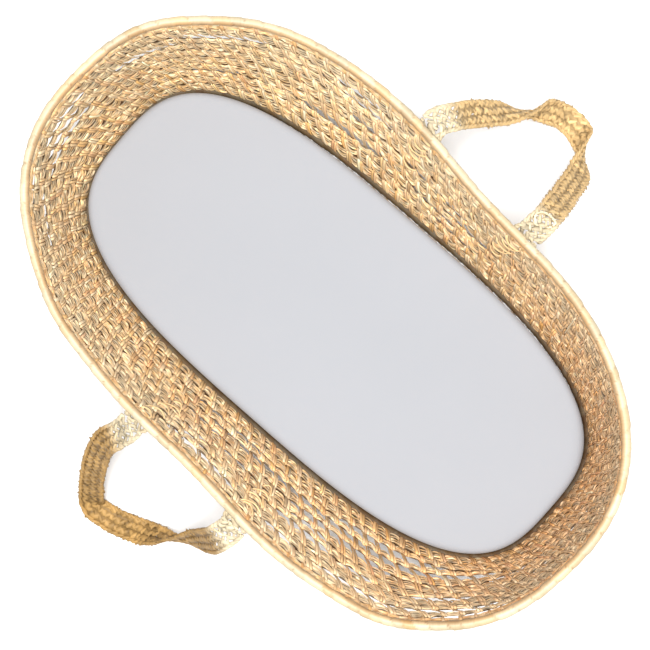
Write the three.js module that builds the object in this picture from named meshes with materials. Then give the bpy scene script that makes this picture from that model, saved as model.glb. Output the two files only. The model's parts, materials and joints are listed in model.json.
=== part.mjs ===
// Hand-woven carrying basket for a baby, with two strap handles, a mattress and a fitted sheet.
// Millimetres, +Z up. The origin is the middle of the base mat's underside, +X runs along the
// basket to its foot end and +Y to its left-hand side.
import * as THREE from "three";

// Mattress and its sheet
const MATTRESS_LENGTH = 737;
const MATTRESS_WIDTH = 330;
const MATTRESS_HEIGHT = 40;
const MATTRESS_POWER = 3.06; // exponent of the oval, 2 would be an ellipse
const MATTRESS_EDGE = 9; // rounding of the pad's top edge
const MATTRESS_FOOT = 5.4; // rounding of its bottom edge
const SHEET_THICKNESS = 1.2;
const HEM_WIDTH = 45; // how far the sheet turns in under the pad
const ELASTIC_WIDTH = 7;

// Base
const MATTRESS_CLEARANCE = 3; // between the mattress and the border roll beside it
const MAT_THICKNESS = 8;
const BORDER_ROLL = 14; // diameter of the roll round the base
const BASE_POWER = 3;

// Wall
const WALL_THICKNESS = 6;
const WALL_BULGE = 5;
const COURSE_COUNT = 9;
const RIM_BAND_HEIGHT = 11;

// Rim, measured over its outside
const RIM_LENGTH = 808;
const RIM_WIDTH = 496;
const RIM_POWER = 2.47;
const RIM_TURN = -5; // degrees: the hand-made rim sits askew on the base
const RIM_HEIGHT = 235; // floor to the top of the rim at the middle of a long side
const END_RISE = 30; // how much higher the rim is at the two ends
const RIM_ROLL = 14; // diameter
const CANE_DIAMETER = 6;
const WRAP_MOUTH = 70; // degrees of the rim's wrapping left open, underneath

// Where the hand-made rim leaves its oval: the place and the reach as shares of the way round
// from the foot end, and the distance outwards
const RIM_PULLS = [
  [0.228, 0.055, -13], [0.425, 0.03, -6.5], [0.645, 0.025, 4], [0.763, 0.053, -10],
  [0.893, 0.022, 5],
];

// Handles
const STRAP_WIDTH = 36;
const STRAP_THICKNESS = 4;
const STRAP_CLEARANCE = 2.8; // strap to rim, where it passes
const LOOP_LIFT = 3; // floor to the underside of the loop's lowest stretch
const TAIL_LENGTH = 110;
const TAIL_THICKNESS = 3;
const TAIL_SETBACK = 4.6; // hinge line to the tail's top edge, below it
const TAIL_NECK = 2.4; // thickness of the tail where it passes the rim
const NECK_RISE = 10; // height of that neck
const NECK_LEAN = 1; // how far its foot is set in
const LACING_WIDTH = 9;
const LACING_THICKNESS = 2;
const TIE_DIAMETER = 3;
const TIE_LOOP = 26; // across the loop of the tie cord, outside
const TIE_STATION = 2; // strap steps from the handle's foot end to the loop's middle

// Gap left between pieces that touch
const GAP = 0.3;

// Steps round every oval piece
const STEPS = 48;

// Each handle's middle line at rest: distance along the hinge line from the basket's middle,
// distance outwards from the hinge line, share of the fall from the hinge line to the floor,
// and how far the strap has twisted from lying face up, in degrees.
const LEFT_LOOP = [
  [-70, 0, 0, 0], [-70, 10, 0.04, 0], [-62, 30, 0.13, 0], [-52, 53, 0.27, 0],
  [-35, 86, 0.51, 12], [-16, 122, 0.735, 80], [-2, 144, 0.87, 145], [18, 158, 0.96, 178],
  [43, 161, 0.985, 172], [65, 148, 0.9, 100], [83, 119, 0.74, 22], [90, 86, 0.52, 0],
  [95, 54, 0.27, 0], [98, 30, 0.1, 0], [98, 11, 0.04, 0], [98, 0, 0, 0],
];
const RIGHT_LOOP = [
  [-66, 0, 0, 0], [-66, 10, 0.04, 0], [-71, 29, 0.12, 0], [-78, 49, 0.24, 0],
  [-76, 88, 0.52, 0], [-63, 129, 0.8, 0], [-45, 154, 0.965, 0], [-17, 151, 0.99, 0],
  [16, 137, 0.98, 12], [42, 119, 0.91, 48], [64, 99, 0.78, 100], [86, 64, 0.48, 160],
  [99, 33, 0.14, 180], [103, 11, 0.04, 180], [103, 0, 0, 180],
];
const STRAP_STEPS = 44;

const STRAW = { color: 0xe6c48c, roughness: 0.75, metalness: 0 };
const STRAW_DARK = { color: 0xd9b176, roughness: 0.8, metalness: 0 };
const STRAW_PALE = { color: 0xf7e7c4, roughness: 0.7, metalness: 0 };
const COTTON = { color: 0xd8d9dd, roughness: 0.95, metalness: 0 };
const FOAM = { color: 0xf1efe8, roughness: 1, metalness: 0 };
const ELASTIC = { color: 0xe2e2e2, roughness: 0.8, metalness: 0 };
const CANE = { color: 0xb98a4e, roughness: 0.6, metalness: 0 };

const basket = new THREE.Group();
const up = new THREE.Vector3(0, 0, 1);

function addPiece(name, geometry, look) {
  const mesh = new THREE.Mesh(geometry, new THREE.MeshStandardMaterial(look));
  mesh.name = name;
  basket.add(mesh);
}

// A surface through cross-sections that all have the same number of points. With closed set it
// runs back to its first section, otherwise both ends are capped. Faces are turned outwards.
function loft(sections, closed) {
  const width = sections[0].length;
  const spans = closed ? sections.length : sections.length - 1;
  const faces = [];
  for (let i = 0; i < spans; i += 1) {
    const near = i * width;
    const far = ((i + 1) % sections.length) * width;
    for (let j = 0; j < width; j += 1) {
      const k = (j + 1) % width;
      faces.push([near + j, near + k, far + k], [near + j, far + k, far + j]);
    }
  }
  if (!closed) {
    const last = (sections.length - 1) * width;
    for (let j = 1; j < width - 1; j += 1) {
      faces.push([0, j + 1, j], [last, last + j, last + j + 1]);
    }
  }
  const points = sections.flat();
  const inwards = volume(points, faces) < 0;
  const geometry = new THREE.BufferGeometry().setFromPoints(points);
  geometry.setIndex(faces.flatMap(([a, b, c]) => (inwards ? [a, c, b] : [a, b, c])));
  geometry.computeVertexNormals();
  return geometry;
}

function volume(points, faces) {
  const normal = new THREE.Vector3();
  let total = 0;
  for (const [a, b, c] of faces) {
    normal.crossVectors(points[b], points[c]);
    total += points[a].dot(normal) / 6;
  }
  return total;
}

// Points of a superellipse at equal distances along it, counter-clockwise from its foot end.
function oval(halfLength, halfWidth, power, turn) {
  const fineSteps = 4000;
  const outline = [];
  for (let i = 0; i <= fineSteps; i += 1) {
    const angle = (i / fineSteps) * 2 * Math.PI;
    const x = halfLength * Math.sign(Math.cos(angle)) * Math.abs(Math.cos(angle)) ** (2 / power);
    const y = halfWidth * Math.sign(Math.sin(angle)) * Math.abs(Math.sin(angle)) ** (2 / power);
    outline.push(new THREE.Vector3(x, y, 0));
  }
  const reached = [0];
  for (let i = 1; i <= fineSteps; i += 1) {
    reached.push(reached[i - 1] + outline[i].distanceTo(outline[i - 1]));
  }
  const points = [];
  let at = 0;
  for (let k = 0; k < STEPS; k += 1) {
    const wanted = (reached[fineSteps] * k) / STEPS;
    while (reached[at + 1] < wanted) at += 1;
    points.push(outline[at].clone().applyAxisAngle(up, THREE.MathUtils.degToRad(turn)));
  }
  return points;
}

// The level direction pointing out of a ring at each of its points.
function outwards(ring) {
  return ring.map((point, k) => {
    const before = ring[(k + STEPS - 1) % STEPS];
    const after = ring[(k + 1) % STEPS];
    const along = after.clone().sub(before).setZ(0).normalize();
    return new THREE.Vector3(along.y, -along.x, 0);
  });
}

function offsetRing(ring, distance, height) {
  const out = outwards(ring);
  return ring.map((point, k) => {
    return point.clone().addScaledVector(out[k], distance).setZ(height);
  });
}

// A bar of any section bent round a ring. The section's points are [outwards, upwards].
function ringBar(ring, section) {
  const out = outwards(ring);
  const sections = ring.map((point, k) => section.map(([away, rise]) => {
    return point.clone().addScaledVector(out[k], away).addScaledVector(up, rise);
  }));
  return loft(sections, true);
}

function roundSection(diameter, sides) {
  const section = [];
  for (let j = 0; j < sides; j += 1) {
    const angle = ((j + 0.5) / sides) * 2 * Math.PI;
    section.push([(diameter / 2) * Math.cos(angle), (diameter / 2) * Math.sin(angle)]);
  }
  return section;
}

// How far the rim stands out of its oval at a share of the way round
function rimPull(share) {
  let distance = 0;
  for (const [centre, reach, pull] of RIM_PULLS) {
    const away = share - centre - Math.round(share - centre);
    distance += pull * Math.exp(-((away / reach) ** 2));
  }
  return distance;
}

// The three ovals that the basket is built on
const baseOval = oval(
  MATTRESS_LENGTH / 2 + MATTRESS_CLEARANCE + BORDER_ROLL / 2,
  MATTRESS_WIDTH / 2 + MATTRESS_CLEARANCE + BORDER_ROLL / 2,
  BASE_POWER,
  0,
);
const rimHalfLength = (RIM_LENGTH - RIM_ROLL) / 2;
const rimHalfWidth = (RIM_WIDTH - RIM_ROLL) / 2;
const evenRim = oval(rimHalfLength, rimHalfWidth, RIM_POWER, RIM_TURN);
const evenRimOut = outwards(evenRim);
const rimOval = evenRim.map((point, k) => {
  const rise = END_RISE * (point.x / rimHalfLength) ** 2;
  const height = RIM_HEIGHT - RIM_ROLL / 2 + rise;
  return point.clone().addScaledVector(evenRimOut[k], rimPull(k / STEPS)).setZ(height);
});
const padOval = oval(MATTRESS_LENGTH / 2, MATTRESS_WIDTH / 2, MATTRESS_POWER, 0);

// The middle surface of the wall, as a ring at a share of its height: 0 on the border roll,
// 1 under the rim.
function wallRing(share) {
  const foot = BORDER_ROLL + GAP;
  const ring = baseOval.map((point, k) => {
    const head = rimOval[k].z - RIM_ROLL / 2 - GAP;
    const place = point.clone().lerp(rimOval[k], share);
    return place.setZ(foot + (head - foot) * share);
  });
  const out = outwards(ring);
  const swell = WALL_BULGE * Math.sin(Math.PI * share);
  return ring.map((point, k) => point.addScaledVector(out[k], swell));
}

const wallHeight = RIM_HEIGHT - RIM_ROLL - GAP - BORDER_ROLL - GAP;
const bandShare = 1 - RIM_BAND_HEIGHT / wallHeight;

// A ring of wall between two shares of its height, less half a gap above and below
function wallCourse(from, to) {
  const lower = wallRing(from + GAP / 2 / wallHeight);
  const upper = wallRing(to - GAP / 2 / wallHeight);
  const lowerOut = outwards(lower);
  const upperOut = outwards(upper);
  const half = WALL_THICKNESS / 2;
  const sections = lower.map((point, k) => [
    point.clone().addScaledVector(lowerOut[k], -half),
    point.clone().addScaledVector(lowerOut[k], half),
    upper[k].clone().addScaledVector(upperOut[k], half),
    upper[k].clone().addScaledVector(upperOut[k], -half),
  ]);
  return loft(sections, true);
}

function addBase() {
  const edge = offsetRing(baseOval, -BORDER_ROLL / 2 - GAP, 0);
  const outline = new THREE.Shape(edge.map((point) => new THREE.Vector2(point.x, point.y)));
  const mat = new THREE.ExtrudeGeometry(outline, { depth: MAT_THICKNESS, bevelEnabled: false });
  addPiece("base_mat", mat, STRAW_DARK);
  const middle = baseOval.map((point) => point.clone().setZ(BORDER_ROLL / 2));
  const octagonFlat = Math.cos(Math.PI / 8);
  addPiece("base_border", ringBar(middle, roundSection(BORDER_ROLL / octagonFlat, 8)), STRAW);
}

function addWall() {
  for (let i = 0; i < COURSE_COUNT; i += 1) {
    const from = (bandShare * i) / COURSE_COUNT;
    const to = (bandShare * (i + 1)) / COURSE_COUNT;
    const number = String(i + 1).padStart(2, "0");
    addPiece(`wall_course_${number}`, wallCourse(from, to), i % 2 ? STRAW_DARK : STRAW);
  }
  addPiece("rim_band", wallCourse(bandShare, 1), STRAW_DARK);
}

function addRim() {
  addPiece("rim_cane", ringBar(rimOval, roundSection(CANE_DIAMETER, 6)), CANE);
  const inner = CANE_DIAMETER / 2 + 2 * GAP;
  const arcSteps = 7;
  const start = -90 + WRAP_MOUTH / 2;
  const sweep = 360 - WRAP_MOUTH;
  const arc = (radius) => {
    const points = [];
    for (let j = 0; j <= arcSteps; j += 1) {
      const angle = THREE.MathUtils.degToRad(start + (sweep * j) / arcSteps);
      points.push([radius * Math.cos(angle), radius * Math.sin(angle)]);
    }
    return points;
  };
  const section = [...arc(RIM_ROLL / 2), ...arc(inner).reverse()];
  addPiece("rim_wrap", ringBar(rimOval, section), STRAW_PALE);
}

// Handles: side is +1 on the left and -1 on the right
const rimTurn = THREE.MathUtils.degToRad(RIM_TURN);
const alongRim = new THREE.Vector3(Math.cos(rimTurn), Math.sin(rimTurn), 0);
const acrossRim = new THREE.Vector3(-Math.sin(rimTurn), Math.cos(rimTurn), 0);
const hingeHeight = RIM_HEIGHT - RIM_ROLL / 2;
const loopFall = hingeHeight - LOOP_LIFT - STRAP_THICKNESS / 2;

// How far out the rim's middle line is on one side
function rimReach(side, along) {
  for (let k = 0; k < STEPS; k += 1) {
    const near = rimOval[k];
    const next = rimOval[(k + 1) % STEPS];
    const share = (along - near.dot(alongRim)) / next.clone().sub(near).dot(alongRim);
    const reach = side * near.clone().lerp(next, share).dot(acrossRim);
    if (share >= 0 && share < 1 && reach > 0) return reach;
  }
  throw new Error(`the rim has no point ${along} mm along it`);
}

// A handle's hinge line, which passes just outside the rim at both ends of the handle: how far
// out it is at the basket's middle, and how that grows along it
function hingeLine(side, loop) {
  const clear = RIM_ROLL / 2 + STRAP_CLEARANCE + STRAP_THICKNESS / 2;
  const [head, foot] = [loop[0][0], loop.at(-1)[0]].map((along) => {
    const places = [along - STRAP_WIDTH / 2, along, along + STRAP_WIDTH / 2];
    return { along, reach: Math.max(...places.map((place) => rimReach(side, place))) + clear };
  });
  const growth = (foot.reach - head.reach) / (foot.along - head.along);
  return { middle: head.reach - growth * head.along, growth };
}

const hinges = new Map([[1, hingeLine(1, LEFT_LOOP)], [-1, hingeLine(-1, RIGHT_LOOP)]]);

// A point given by its distance along the hinge line, outwards from it and upwards from it
function fromHinge(side, along, away, rise) {
  const { middle, growth } = hinges.get(side);
  return alongRim.clone().multiplyScalar(along)
    .addScaledVector(acrossRim, side * (middle + growth * along + away))
    .addScaledVector(up, hingeHeight + rise);
}

// Frames along a strap's middle line: its place, its width direction and its face direction.
// Without twist the width is level and the face looks up.
function strapFrames(side, loop) {
  const line = new THREE.CatmullRomCurve3(
    loop.map(([along, away, fall]) => fromHinge(side, along, away, -fall * loopFall)),
    false,
    "centripetal",
  );
  const twist = new THREE.CatmullRomCurve3(
    loop.map(([, , , degrees], i) => new THREE.Vector3(i, degrees, 0)),
    false,
    "centripetal",
  );
  const frames = [];
  for (let i = 0; i <= STRAP_STEPS; i += 1) {
    const step = line.getUtoTmapping(i / STRAP_STEPS);
    const tangent = line.getTangent(step);
    const level = new THREE.Vector3().crossVectors(tangent, up).normalize();
    const upper = new THREE.Vector3().crossVectors(level, tangent).normalize();
    const turn = THREE.MathUtils.degToRad(twist.getPoint(step).y);
    frames.push({
      place: line.getPoint(step),
      width: level.clone().applyAxisAngle(tangent, -turn),
      face: upper.clone().applyAxisAngle(tangent, -turn),
    });
  }
  return frames;
}

function strap(side, loop) {
  const sections = strapFrames(side, loop).map(({ place, width, face }) => {
    const corner = (a, b) => place.clone()
      .addScaledVector(width, (a * STRAP_WIDTH) / 2)
      .addScaledVector(face, (b * STRAP_THICKNESS) / 2);
    return [corner(-1, -1), corner(1, -1), corner(1, 1), corner(-1, 1)];
  });
  return loft(sections, false);
}

// The share of the way round the rim at which a handle's end meets it
function shareRound(side, along) {
  const angleOf = (point) => Math.atan2(point.y, point.x);
  const target = angleOf(fromHinge(side, along, 0, 0));
  let nearest = 0;
  let least = Infinity;
  for (let i = 0; i < STEPS * 100; i += 1) {
    const difference = Math.abs(angleOf(onRing(rimOval, i / 100)) - target);
    if (difference < least) {
      least = difference;
      nearest = i / 100;
    }
  }
  return nearest;
}

function onRing(ring, step) {
  const whole = Math.floor(step);
  const next = ring[(whole + 1) % STEPS];
  return ring[whole % STEPS].clone().lerp(next, step - whole);
}

// A flat strip lying on the wall, offset from its middle surface by near and far, centred on
// one step round the ring, through the given shares of the wall's height
function wallStrip(step, width, near, far, shares) {
  return shares.map((share) => {
    const ring = wallRing(share);
    const out = outwards(ring);
    const middle = onRing(ring, step);
    const normal = onRing(out, step).normalize();
    const along = new THREE.Vector3(normal.y, -normal.x, 0);
    const corner = (a, depth) => middle.clone()
      .addScaledVector(along, (a * width) / 2)
      .addScaledVector(normal, depth);
    return [corner(-1, near), corner(1, near), corner(1, far), corner(-1, far)];
  });
}

// A handle's tail: flat down the outside of the wall, with a thin neck that stands out past
// the rim to the hinge line
function tail(side, along) {
  const step = shareRound(side, along);
  const near = WALL_THICKNESS / 2 + 2 * GAP;
  const top = 1 - TAIL_THICKNESS / wallHeight;
  const bottom = top - TAIL_LENGTH / wallHeight;
  const flatTop = top - NECK_RISE / wallHeight;
  const shares = [0, 1 / 3, 2 / 3, 1].map((part) => bottom + (flatTop - bottom) * part);
  const sections = wallStrip(step, STRAP_WIDTH, near, near + TAIL_THICKNESS, shares);
  const edge = (side * STRAP_WIDTH) / 2;
  const neck = (away, rise) => [
    fromHinge(side, along - edge, away, rise),
    fromHinge(side, along + edge, away, rise),
    fromHinge(side, along + edge, away + TAIL_NECK, rise),
    fromHinge(side, along - edge, away + TAIL_NECK, rise),
  ];
  const nearHinge = -STRAP_THICKNESS / 2 - 2 * GAP;
  const foot = neck(nearHinge - NECK_LEAN, -TAIL_SETBACK - TAIL_THICKNESS);
  sections.push(foot, neck(nearHinge, -TAIL_SETBACK));
  return loft(sections, false);
}

function lacing(side, along) {
  const step = shareRound(side, along);
  const near = WALL_THICKNESS / 2 + 2 * GAP;
  const top = bandShare;
  const bottom = top - TAIL_LENGTH / wallHeight;
  const shares = [bottom, (bottom + top) / 2, top];
  return loft(wallStrip(step, LACING_WIDTH, -near - LACING_THICKNESS, -near, shares), false);
}

// A closed loop of cord lying flat on a strap's upper face
function tieLoop(frame) {
  const sections = [];
  const sides = 6;
  const turns = 16;
  const radius = (TIE_LOOP - TIE_DIAMETER) / 2;
  const lift = STRAP_THICKNESS / 2 + GAP + TIE_DIAMETER / 2;
  const centre = frame.place.clone().addScaledVector(frame.face, lift);
  const along = new THREE.Vector3().crossVectors(frame.width, frame.face);
  for (let i = 0; i < turns; i += 1) {
    const angle = (i / turns) * 2 * Math.PI;
    const spoke = frame.width.clone().multiplyScalar(Math.cos(angle))
      .addScaledVector(along, Math.sin(angle));
    sections.push(roundSection(TIE_DIAMETER, sides).map(([away, rise]) => centre.clone()
      .addScaledVector(spoke, radius + away)
      .addScaledVector(frame.face, rise)));
  }
  return loft(sections, true);
}

function addHandles() {
  const handles = [["left", 1, LEFT_LOOP], ["right", -1, RIGHT_LOOP]];
  for (const [name, side, loop] of handles) {
    addPiece(`handle_strap_${name}`, strap(side, loop), STRAW);
    const ends = [["head", loop[0][0]], ["foot", loop.at(-1)[0]]];
    for (const [end, along] of ends) {
      addPiece(`handle_tail_${name}_${end}`, tail(side, along), STRAW);
      addPiece(`tail_lacing_${name}_${end}`, lacing(side, along), STRAW_PALE);
    }
  }
  const tied = strapFrames(1, LEFT_LOOP).at(-1 - TIE_STATION);
  addPiece("tie_cord", tieLoop(tied), STRAW_PALE);
}

function addMattress() {
  const floor = MAT_THICKNESS + GAP;
  const top = floor + MATTRESS_HEIGHT;
  const lining = SHEET_THICKNESS + GAP;
  const ring = (inset, height) => offsetRing(padOval, -inset, height);
  const shoulder = MATTRESS_EDGE * (1 - Math.SQRT1_2);
  const rounded = (inset, low, high) => [
    ring(inset + MATTRESS_FOOT, low),
    ring(inset, low + MATTRESS_FOOT),
    ring(inset, high - MATTRESS_EDGE),
    ring(inset + shoulder, high - shoulder),
    ring(inset + MATTRESS_EDGE, high),
  ];
  const foam = rounded(lining, floor + lining, top - lining);
  addPiece("mattress_foam", loft(foam, false), FOAM);

  const inside = rounded(SHEET_THICKNESS, floor + SHEET_THICKNESS, top - SHEET_THICKNESS);
  const outside = rounded(0, floor, top);
  const hem = [ring(HEM_WIDTH, floor + SHEET_THICKNESS), ring(HEM_WIDTH, floor)];
  addPiece("fitted_sheet", loft([...inside.reverse(), ...hem, ...outside], false), COTTON);

  const away = -HEM_WIDTH - GAP;
  const middle = padOval.map((point) => point.clone().setZ(floor));
  const section = [
    [away - ELASTIC_WIDTH, 0],
    [away, 0],
    [away, SHEET_THICKNESS],
    [away - ELASTIC_WIDTH, SHEET_THICKNESS],
  ];
  addPiece("sheet_elastic", ringBar(middle, section), ELASTIC);
}

addBase();
addWall();
addRim();
addHandles();
addMattress();

export default basket;
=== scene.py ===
import json
import math

import bpy
import numpy as np
from mathutils import Matrix, Vector


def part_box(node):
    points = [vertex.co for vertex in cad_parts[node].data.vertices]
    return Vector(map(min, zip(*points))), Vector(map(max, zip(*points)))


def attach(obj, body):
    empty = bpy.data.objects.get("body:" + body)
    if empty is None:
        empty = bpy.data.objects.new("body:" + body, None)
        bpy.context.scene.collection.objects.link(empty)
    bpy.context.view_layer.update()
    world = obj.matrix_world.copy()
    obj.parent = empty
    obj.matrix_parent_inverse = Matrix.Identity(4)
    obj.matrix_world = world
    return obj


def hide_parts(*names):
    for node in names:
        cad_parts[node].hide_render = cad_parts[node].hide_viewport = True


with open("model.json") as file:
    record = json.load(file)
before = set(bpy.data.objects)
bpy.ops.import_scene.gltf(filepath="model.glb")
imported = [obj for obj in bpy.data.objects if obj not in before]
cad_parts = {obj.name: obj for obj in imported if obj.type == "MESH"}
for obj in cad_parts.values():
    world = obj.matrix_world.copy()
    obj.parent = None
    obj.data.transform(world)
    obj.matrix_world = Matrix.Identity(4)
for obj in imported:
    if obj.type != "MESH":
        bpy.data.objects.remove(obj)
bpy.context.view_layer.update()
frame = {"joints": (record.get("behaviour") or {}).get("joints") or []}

MM = 0.001

# ---- driving sizes
BASE_POWER = 3.0
RIM_POWER = 2.47
PAD_POWER = 3.06
RIM_LENGTH = 808 * MM
RIM_WIDTH = 496 * MM
END_RISE = 30 * MM
WALL_BULGE = 5 * MM
RIM_BAND = 11 * MM
WALL_SET_IN = 3.2 * MM  # the wall hangs from the inner side of the rim roll
COURSES = 9
STRIP_LEAN = 0.38  # sideways travel of a strip for each unit it climbs

border_low, border_high = (np.array(corner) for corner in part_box("base_border"))
BORDER_ROLL = border_high[2] - border_low[2]
sheet_low, sheet_high = (np.array(corner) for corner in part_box("fitted_sheet"))
mat_low, mat_high = (np.array(corner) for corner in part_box("base_mat"))
joints = {joint["name"]: joint for joint in frame["joints"]}
hinge = {side: joints[f"handle_{side}_swing"] for side in ("left", "right")}
HINGE_HEIGHT = hinge["left"]["pos_m"][2]
RIM_TURN = math.radians(-5)  # the rim sits askew on the base
RIM_ROLL = 14 * MM

# Where the hand-made rim leaves its oval: the place and the reach as shares of the way round
# from the foot end, and the distance outwards
RIM_PULLS = [
    (0.228, 0.055, -13 * MM), (0.425, 0.03, -6.5 * MM), (0.645, 0.025, 4 * MM),
    (0.763, 0.053, -10 * MM), (0.893, 0.022, 5 * MM),
]

# ---- camera
CAMERA_PLACE = (0.1165, 0.0488, 1.8241)
CAMERA_RIGHT = (0.7522, 0.6550, -0.0725)
CAMERA_BACK = (0.0673, 0.0331, 0.9972)
CAMERA_LENS = 76.4


def make_camera():
    data = bpy.data.cameras.new("camera")
    data.lens = CAMERA_LENS
    data.sensor_width = 36
    data.clip_end = 50
    camera = bpy.data.objects.new("camera", data)
    back = np.array(CAMERA_BACK) / np.linalg.norm(CAMERA_BACK)
    right = np.array(CAMERA_RIGHT) - back * np.dot(CAMERA_RIGHT, back)
    right /= np.linalg.norm(right)
    upward = np.cross(back, right)
    turn = Matrix(np.column_stack([right, upward, back]).tolist())
    camera.matrix_world = Matrix.Translation(CAMERA_PLACE) @ turn.to_4x4()
    bpy.context.scene.collection.objects.link(camera)
    bpy.context.scene.camera = camera


make_camera()


# ---- colours
def linear(red, green, blue):
    values = np.array([red, green, blue]) / 255
    return np.where(values > 0.04045, ((values + 0.055) / 1.055) ** 2.4, values / 12.92)


CREAM = linear(240, 222, 186)
WHEAT = linear(232, 198, 146)
GOLD = linear(222, 174, 106)
TAN = linear(218, 166, 120)
BROWN = linear(188, 138, 84)
OCHRE = linear(196, 158, 96)


# ---- materials
def new_material(name, roughness, specular=0.3):
    material = bpy.data.materials.new(name)
    material.use_nodes = True
    tree = material.node_tree
    shader = tree.nodes["Principled BSDF"]
    shader.inputs["Roughness"].default_value = roughness
    shader.inputs["Specular IOR Level"].default_value = specular
    return material, tree, shader


def add_node(tree, kind, **settings):
    node = tree.nodes.new(kind)
    for key, value in settings.items():
        if key in node.inputs:
            node.inputs[key].default_value = value
        else:
            setattr(node, key, value)
    return node


def straw_material(name, roughness=0.62, fibre_depth=0.35, fleck=0.22):
    """Dried leaf: its own tone at each vertex, long fibres along it, and small dark flecks."""
    material, tree, shader = new_material(name, roughness, 0.25)
    link = tree.links.new
    tone = add_node(tree, "ShaderNodeAttribute", attribute_name="tone")
    along = add_node(tree, "ShaderNodeAttribute", attribute_name="fibre")
    stretch = add_node(tree, "ShaderNodeMapping")
    stretch.inputs["Scale"].default_value = (60, 900, 1)
    link(along.outputs["Vector"], stretch.inputs["Vector"])
    fibres = add_node(tree, "ShaderNodeTexNoise", Scale=1.0, Detail=4.0, Roughness=0.6)
    link(stretch.outputs["Vector"], fibres.inputs["Vector"])
    shade = add_node(tree, "ShaderNodeMapRange")
    shade.inputs["From Min"].default_value = 0.3
    shade.inputs["From Max"].default_value = 0.7
    shade.inputs["To Min"].default_value = 1 - fleck
    shade.inputs["To Max"].default_value = 1 + fleck * 0.5
    link(fibres.outputs["Fac"], shade.inputs["Value"])
    tint = add_node(tree, "ShaderNodeVectorMath", operation="SCALE")
    link(tone.outputs["Color"], tint.inputs[0])
    link(shade.outputs["Result"], tint.inputs["Scale"])
    link(tint.outputs["Vector"], shader.inputs["Base Color"])
    bump = add_node(tree, "ShaderNodeBump", Strength=fibre_depth, Distance=0.0006)
    link(fibres.outputs["Fac"], bump.inputs["Height"])
    link(bump.outputs["Normal"], shader.inputs["Normal"])
    return material


STRAW = straw_material("woven_straw")
STRAP_STRAW = straw_material("strap_straw", 0.6)
LACE_STRAW = straw_material("lacing_straw", 0.55, 0.25, 0.12)
RIM_STRAW = straw_material("rim_straw", 0.45, 0.25, 0.1)


# ---- meshes
class Pieces:
    """Vertices, faces and vertex values collected for one object."""

    def __init__(self):
        self.places, self.faces, self.tones, self.fibres = [], [], [], []
        self.count = 0

    def grid(self, points, tone, fibre, closed=False):
        """A tube: points is (steps, sides, 3); tone and fibre are (steps, sides, 3)."""
        steps, sides, _ = points.shape
        number = self.count + np.arange(steps * sides).reshape(steps, sides)
        following = np.roll(number, -1, axis=0) if closed else number[1:]
        here = number if closed else number[:-1]
        quads = np.stack([
            here,
            np.roll(here, -1, axis=1),
            np.roll(following, -1, axis=1),
            following,
        ], axis=-1).reshape(-1, 4)
        self.faces.extend(quads.tolist())
        if not closed:
            self.faces.append(number[0][::-1].tolist())
            self.faces.append(number[-1].tolist())
        self.places.append(points.reshape(-1, 3))
        self.tones.append(np.broadcast_to(tone, points.shape).reshape(-1, 3))
        self.fibres.append(np.broadcast_to(fibre, points.shape).reshape(-1, 3))
        self.count += steps * sides

    def build(self, name, material, body, slot, *nodes):
        mesh = bpy.data.meshes.new(name)
        places = np.concatenate(self.places)
        mesh.from_pydata(places.tolist(), [], self.faces)
        tone = mesh.attributes.new("tone", "FLOAT_COLOR", "POINT")
        shades = np.concatenate(self.tones)
        rgba = np.concatenate([shades, np.ones((len(shades), 1))], axis=1)
        tone.data.foreach_set("color", rgba.astype(np.float32).ravel())
        fibre = mesh.attributes.new("fibre", "FLOAT_VECTOR", "POINT")
        fibre.data.foreach_set("vector", np.concatenate(self.fibres).astype(np.float32).ravel())
        mesh.polygons.foreach_set("use_smooth", [True] * len(mesh.polygons))
        mesh.materials.append(material)
        mesh.update()
        thing = bpy.data.objects.new(name, mesh)
        bpy.context.scene.collection.objects.link(thing)
        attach(thing, body)
        if nodes:
            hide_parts(*nodes)
        return thing


def unit(vectors):
    length = np.linalg.norm(vectors, axis=-1, keepdims=True)
    return vectors / np.maximum(length, 1e-12)


def tube(line, across, face, wide, thick, sides, start=0.0):
    """Points of an oval section, half as wide and thick as given, at each point of a line."""
    angle = (np.arange(sides) + start) / sides * 2 * math.pi
    wide = np.asarray(wide)[..., None, None] * np.cos(angle)[:, None]
    thick = np.asarray(thick)[..., None, None] * np.sin(angle)[:, None]
    points = line[..., None, :] + across[..., None, :] * wide + face[..., None, :] * thick
    return points, angle


def fibre_run(points, along, across):
    """Where each point lies on its leaf: along it and across it."""
    fibre = np.zeros(points.shape)
    fibre[..., 0] = along
    fibre[..., 1] = across
    return fibre


UPWARD = np.array([0, 0, 1.0])


# ---- ovals and the wall's surface
FINE = 2400


def oval(half_length, half_width, power, turn=0.0):
    """A superellipse at FINE equal steps along it, counter-clockwise from its foot end."""
    angle = np.linspace(0, 2 * math.pi, 20001)
    x = half_length * np.sign(np.cos(angle)) * np.abs(np.cos(angle)) ** (2 / power)
    y = half_width * np.sign(np.sin(angle)) * np.abs(np.sin(angle)) ** (2 / power)
    reached = np.concatenate([[0], np.cumsum(np.hypot(np.diff(x), np.diff(y)))])
    wanted = np.arange(FINE) / FINE * reached[-1]
    x, y = np.interp(wanted, reached, x), np.interp(wanted, reached, y)
    c, s = math.cos(turn), math.sin(turn)
    return np.column_stack([x * c - y * s, x * s + y * c, np.zeros(FINE)])


def outwards(ring):
    along = unit(np.roll(ring, -3, axis=0) - np.roll(ring, 3, axis=0))
    return unit(np.column_stack([along[:, 1], -along[:, 0], np.zeros(len(ring))]))


def around(ring, turn):
    """The value of a ring at a share of the way round it."""
    place = np.mod(turn, 1.0) * FINE
    step = np.floor(place).astype(int)
    part = (place - step)[..., None]
    return ring[step % FINE] * (1 - part) + ring[(step + 1) % FINE] * part


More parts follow.
